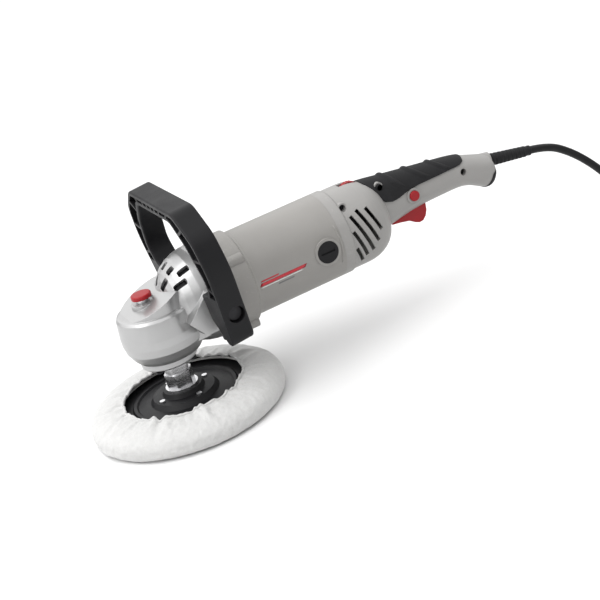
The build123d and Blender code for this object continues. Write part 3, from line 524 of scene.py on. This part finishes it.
def pad_radius(z):
    """Radius of the stuffing at a height, on its outer side."""
    side = PAD_UNDER_CLOTH[1:9]
    for (r0, z0), (r1, z1) in zip(side, side[1:]):
        if z <= z1:
            return r0 + (r1 - r0) * max(0.0, (z - z0) / (z1 - z0))
    return 0.0


# the cloth stays over the stuffing and inside the space that it may fill
CLOTH_LIMIT_R = 94.5
CLOTH_LIMIT_Z = 28.5
for vertex in bonnet.data.vertices:
    r = hypot(vertex.co.x, vertex.co.y) / MM
    if r > 80 and vertex.co.z > 0.0015:
        held = min(CLOTH_LIMIT_R, max(r, pad_radius(vertex.co.z / MM) + 0.5))
        vertex.co.x *= held / r
        vertex.co.y *= held / r
    vertex.co.z = min(CLOTH_LIMIT_Z * MM, max(0.0001, vertex.co.z))

# sewn-in creases that run out from the hem and die away: angle, half width, height, length, lean
CREASES = 46
creases = []
for number in range(CREASES):
    place = 2 * pi * (number + random.uniform(-0.38, 0.38)) / CREASES
    half_width = random.uniform(0.022, 0.045)
    height = random.uniform(1.0, 3.8) * random.choice((1, 1, -0.8))
    length = random.uniform(10, 30)
    creases.append((place, half_width, height, length, random.uniform(-0.008, 0.008)))
for vertex in bonnet.data.vertices:
    r = hypot(vertex.co.x, vertex.co.y) / MM
    if vertex.co.z < 0.014 or r < 40:
        continue
    from_hem = max(0.0, r - 57.6)
    angle = atan2(vertex.co.y, vertex.co.x)
    lift = 0.0
    for place, half_width, height, length, skew in creases:
        off = (angle - place - skew * from_hem + pi) % (2 * pi) - pi
        if abs(off) < 3 * half_width:
            lift += height * exp(-(off / half_width) ** 2 - (from_hem / length) ** 2)
    vertex.co.z = min(CLOTH_LIMIT_Z * MM, vertex.co.z + 0.8 * lift * MM)
    inward = 1 - 0.35 * lift / r * max(0.0, 1 - from_hem / 12)
    vertex.co.x *= inward
    vertex.co.y *= inward
hem = [bonnet.data.vertices[(len(BONNET) - 1) * SECTORS + j].co.copy() for j in range(SECTORS)]
add_modifier(bonnet, "SUBSURF", levels=2, render_levels=2)
pile_texture = bpy.data.textures.new("pile_lumps", "CLOUDS")
pile_texture.noise_scale = 0.0045
pile_texture.noise_depth = 3
add_modifier(bonnet, "DISPLACE", texture=pile_texture, strength=0.0011, mid_level=0.3, texture_coords="LOCAL")
apply_modifiers(bonnet)
for vertex in bonnet.data.vertices:
    vertex.co.z = max(0.00005, vertex.co.z)
bonnet.data.shade_smooth()
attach(bonnet, "spindle")
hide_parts("polishing_bonnet")

hem_points = []
HEM_SIDES = 10
for j in range(SECTORS):
    a = atan2(hem[j].y, hem[j].x)
    outward = Vector((cos(a), sin(a), 0))
    swell = 1.5 + 0.30 * gather(a) + 0.35 * noise.noise(Vector((9 * cos(a), 9 * sin(a), 3)))
    for k in range(HEM_SIDES):
        b = 2 * pi * k / HEM_SIDES
        hem_points.append(hem[j] + (outward * cos(b) * 0.9 + Vector((0, 0, sin(b)))) * swell * MM)
hem_faces = grid_faces(SECTORS, HEM_SIDES, True)
hem_tube = mesh_object("bonnet_hem", hem_points, hem_faces, materials["bonnet_pile"])
add_modifier(hem_tube, "SUBSURF", levels=1, render_levels=1)
apply_modifiers(hem_tube)
hem_tube.data.shade_smooth()
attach(hem_tube, "spindle")


# ---- trim on the motor housing ---------------------------------------------------------------
def on_motor(x, angle, proud=0.0, radius=MOTOR_R):
    """Point on the motor housing: angle is above level on the near side, in degrees."""
    r = radius + proud
    return (x, -r * cos(radians(angle)), AXIS_Z + r * sin(radians(angle)))


def decal(name, x0, x1, low, high, material, taper=0.0):
    """A printed stripe, bent round the motor housing; taper slants its two ends."""
    rows = []
    for i in range(9):
        t = i / 8
        angle = low + (high - low) * t
        rows.append([on_motor(x0 + taper * t + (x1 - x0) * k / 24, angle, 0.05) for k in range(25)])
    obj = strip(name, rows, material, 0.08)
    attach(obj, "housing")
    return obj


stripe_red = moulded("stripe_red", (0.42, 0.008, 0.02), 0.30, 900, 0.00002, 0.04)
stripe_pale = moulded("stripe_pale", (0.66, 0.65, 0.63), 0.32, 900, 0.00002, 0.04)
stripe_dark = moulded("stripe_dark", (0.13, 0.13, 0.135), 0.34, 900, 0.00002, 0.04)
main_stripe = decal("stripe_main", 87, 134, -5.6, -1.3, stripe_red, 2.5)
upper_stripe = decal("stripe_upper", 89, 107, 0.2, 1.9, stripe_red, 1.5)
pale_stripe = decal("stripe_lower", 87, 131, -7.9, -6.5, stripe_pale, 1.0)
small_stripe = decal("stripe_small", 105, 121, -12.2, -10.6, stripe_dark, 0.8)


def ridge(name, line, width, height, material, sides=7):
    """A raised bead along (x, angle) points on the motor housing."""
    rows = []
    for index, (x, angle) in enumerate(line):
        ahead = line[min(index + 1, len(line) - 1)]
        behind = line[max(index - 1, 0)]
        dx = ahead[0] - behind[0]
        arc = (ahead[1] - behind[1]) * pi / 180 * MOTOR_R
        size = hypot(dx, arc)
        across = (arc / size, -dx / size)
        end = min(1.0, min(index, len(line) - 1 - index) / 2.0)
        row = []
        for k in range(sides):
            w = -1 + 2 * k / (sides - 1)
            lift = height * end * (1 - w * w) - 0.25
            x_here = x + across[0] * w * width / 2
            angle_here = angle + degrees(across[1] * w * width / 2 / MOTOR_R)
            row.append(on_motor(x_here, angle_here, lift))
        rows.append(row)
    faces = grid_faces(len(rows), sides, closed_columns=False)
    obj = mesh_object(name, [Vector(p) * MM for row in rows for p in row], faces, material)
    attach(obj, "housing")
    return obj


def smooth_line(corners, count):
    """Points spaced along the runs between the corners, then averaged until the corners are round."""
    out = []
    for i in range(count):
        t = i / (count - 1) * (len(corners) - 1)
        k = min(int(t), len(corners) - 2)
        f = t - k
        out.append(tuple(a * (1 - f) + b * f for a, b in zip(corners[k], corners[k + 1])))
    for _ in range(6):
        inner = []
        for p, q, r in zip(out, out[1:], out[2:]):
            inner.append(tuple((p[c] + 2 * q[c] + r[c]) / 4 for c in range(2)))
        out = [out[0]] + inner + [out[-1]]
    return out


RIDGE_CORNERS = [(173.0, 30), (173.6, 18), (174.4, 8), (173.8, -3), (172.6, -14), (171.0, -26)]
seam = ridge("cap_ridge", smooth_line(RIDGE_CORNERS, 30), 2.2, 1.3, materials["housing_grey"])

# ---- ridges on the handle grip ---------------------------------------------------------------
grip_mesh = nodes["handle_grip"].data
grip_faces = [tuple(p.vertices) for p in grip_mesh.polygons]
grip_tree = BVHTree.FromPolygons([v.co for v in grip_mesh.vertices], grip_faces)
GRIP_CENTRE_Z = 110.0
RAY_START = 0.06             # metres from the grip's middle, outside its surface
RIDGE_SWING = 66             # degrees from the top to each low end
GRIP_RIDGE_HEIGHT = 1.7
RIDGE_SUNK = 0.12
# x at the top and at the low ends, and width
RIDGE_LINES = [(247.0, 262.0, 9.0), (272.5, 289.0, 9.0), (298.0, 312.0, 8.0)]


def on_grip(x, angle):
    """Point of the grip's surface straight out from its middle, and that direction; angle 0 is up."""
    out = Vector((0, -sin(angle), cos(angle)))
    hit = grip_tree.ray_cast(mm(x, 0, GRIP_CENTRE_Z) + out * RAY_START, -out)[0]
    return hit, out


for number, (top_x, low_x, width) in enumerate(RIDGE_LINES):
    rows = []
    for i in range(41):
        s = -1 + i / 20
        angle = s * radians(RIDGE_SWING)
        slide = abs(s) ** 1.4
        x_mid = top_x + (low_x - top_x) * slide
        fade = min(1.0, (1 - abs(s)) * 6)
        row = []
        for k in range(9):
            w = -1 + k / 4
            hit, out = on_grip(x_mid + w * width / 2, angle)
            if hit is None:
                row = []
                break
            lift = GRIP_RIDGE_HEIGHT * fade * (1 - w * w) ** 1.5 - RIDGE_SUNK
            row.append(hit + out * lift * MM)
        if row:
            rows.append(row)
    faces = grid_faces(len(rows), 9, closed_columns=False)
    ridge_points = [p for row in rows for p in row]
    piece = mesh_object(f"grip_ridge_{number}", ridge_points, faces, materials["black_rubber"])
    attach(piece, "housing")

# ---- painted shade: dark sheets behind the air outlets, and a dark tube in the screw hole of the grip ----
# outlets in the dome: x of the front and rear edges, turn about the motor axis in degrees, width,
# and the wall's radius at the front and rear edges
OUTLETS = [
    (9.4, 16.2, 23, 7.0, 19.8, 29.2), (9.4, 16.2, -15, 7.0, 19.8, 29.2), (18.6, 25.2, 17, 7.0, 31.9, 36.2),
    (18.6, 25.2, -5, 7.0, 31.9, 36.2), (24.5, 35.5, 34, 6.4, 36.0, 40.8), (16.6, 28.5, 48, 6.0, 30.2, 37.6),
    (24.5, 35.5, -24, 6.4, 36.0, 40.8), (16.6, 28.5, -39, 6.0, 30.2, 37.6),
]
SHADE_SHEET_SUNK = 2.2
for number, (front, rear, turned, width, front_r, rear_r) in enumerate(OUTLETS):
    angle = radians(turned)
    rows = []
    for i in range(7):
        x = front + (rear - front) * i / 6
        wall = front_r + (rear_r - front_r) * i / 6 - SHADE_SHEET_SUNK
        row = []
        for k in range(7):
            across = -width / 2 + width * k / 6
            up = wall - 0.25 * ((i + k) % 2)
            y = -up * sin(angle) + across * cos(angle)
            row.append((x, y, AXIS_Z + up * cos(angle) + across * sin(angle)))
        rows.append(row)
    # painted shade: a thin black sheet sunk behind each outlet, so that the opening reads dark
    shade_sheet = strip(f"vent_shade_sheet_{number}", rows, materials["black_plastic"], 0.3)
    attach(shade_sheet, "housing")

# a thin washer round the lock's plunger; the pressed button stops just over it
WASHER = [(0.04, 5.95), (0.34, 5.95), (0.34, 9.0), (0.2, 9.3), (0.04, 9.3)]
washer_points = []
WASHER_SIDES = 56
for j in range(WASHER_SIDES):
    a = 2 * pi * j / WASHER_SIDES
    for up, radius in WASHER:
        washer_points.append(mm(-8.0 + radius * cos(a), radius * sin(a), 116.6 + up))
washer_faces = grid_faces(WASHER_SIDES, len(WASHER), closed_rows=True)
washer = mesh_object("lock_washer", washer_points, washer_faces, materials["cast_silver"], smooth=False)
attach(washer, "housing")

# painted shade: a black tube lining the screw hole of the grip hides its lit wall, so that the hole reads
# dark
hole_shade_profile = [(0, 3.12), (0.3, 3.18), (5.5, 3.18), (5.5, 2.6), (0.3, 2.6), (0, 2.7)]
hole_shade_start = Vector((236.5, -16.2, 129.5))
hole_shade_along = Vector((0, 1, 0))
hole_shade_tube = lathe("screw_hole_shade_tube", hole_shade_profile, hole_shade_start, hole_shade_along, materials["black_rubber"], 40)
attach(hole_shade_tube, "housing")


# ---- return springs, drawn at one length -----------------------------------------------------
def return_spring(name, joint, start, along, length, radius, wire, turns, travel):
    """A compression spring with closed ends, from its fixed end to the end that moves."""
    side = along.orthogonal().normalized()
    other = along.cross(side)
    steps = int(turns * 20)
    spring_points = []
    wire_sides = 8
    for i in range(steps + 1):
        t = i / steps
        eased = min(1.0, max(0.0, (t - 0.12) / 0.76))
        a = 2 * pi * turns * t
        out = side * cos(a) + other * sin(a)
        centre = start + along * (wire + (length - 2 * wire) * eased) + out * radius
        for k in range(wire_sides):
            b = 2 * pi * k / wire_sides
            spring_points.append((centre + (out * cos(b) + along * sin(b)) * wire) * MM)
    spring_faces = grid_faces(steps + 1, wire_sides)
    spring_faces.append(tuple(reversed(range(wire_sides))))
    spring_faces.append(tuple(range(len(spring_points) - wire_sides, len(spring_points))))
    obj = mesh_object(name + "_coils", spring_points, spring_faces, materials["spring_steel"])
    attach(obj, "housing")
    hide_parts(name)
    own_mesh(obj)


# node, joint, fixed end, direction, length, coil radius, wire radius, turns, travel
SPRINGS = [
    ("lock_spring", "spindle_lock_press", (-8, 0, 110.6), (0, 0, 1), 8.5, 3.1, 0.3, 6, 4.1),
    ("lock_on_spring", "lock_on_press", (267.5, -8.5, 108.6), (0, -1, 0), 4.6, 3.0, 0.2, 4, 3.0),
    ("trigger_spring", "trigger_pivot", (273, 0, 104), (0, 0, -1), 6.7, 3.2, 0.3, 5, 3.1),
]
for node_name, joint_name, fixed_end, direction, *sizes in SPRINGS:
    return_spring(node_name, joint_name, Vector(fixed_end), Vector(direction), *sizes)

# ---- floor, light ----------------------------------------------------------------------------
floor_material = Shader("floor")
floor_cloud = floor_material.ramp(floor_material.noise(3), 0.3, 0.7)
floor_tone = floor_material.mix(floor_cloud, (0.69, 0.69, 0.69, 1), (0.71, 0.71, 0.71, 1))
floor_material.set(Base_Color=floor_tone, Roughness=0.7)
FLOOR_HALF = 40
floor_corners = [(x * FLOOR_HALF, y * FLOOR_HALF, 0) for x, y in ((-1, -1), (1, -1), (1, 1), (-1, 1))]
floor = mesh_object("floor", floor_corners, [(0, 1, 2, 3)], floor_material.material)


def area_light(name, place, target, size, power, tone=(1, 1, 1)):
    light = bpy.data.lights.new(name, "AREA")
    light.shape = "RECTANGLE"
    light.size, light.size_y = size
    light.energy = power
    light.color = tone
    obj = link(name, light)
    obj.location = place
    aim = (Vector(target) - Vector(place)).to_track_quat("-Z", "Y")
    obj.rotation_euler = aim.to_euler()


area_light("key", (-0.75, 0.05, 1.5), (0.1, 0, 0.05), (1.2, 1.4), 14)
sun_data = bpy.data.lights.new("soft_top", "SUN")
sun_data.energy = 3.1
sun_data.angle = 2.4
sun = link("soft_top", sun_data)
sun.rotation_euler = Vector((-0.12, 0.16, 1)).to_track_quat("Z", "Y").to_euler()
area_light("side", (-1.2, -0.5, 0.8), (0.0, 0, 0.1), (0.4, 0.9), 3)
world = bpy.data.worlds.new("studio")
world.use_nodes = True
world.node_tree.nodes["Background"].inputs["Color"].default_value = (1, 1, 1, 1)
world.node_tree.nodes["Background"].inputs["Strength"].default_value = 0.50
bpy.context.scene.world = world
bpy.context.scene.view_settings.view_transform = "Standard"
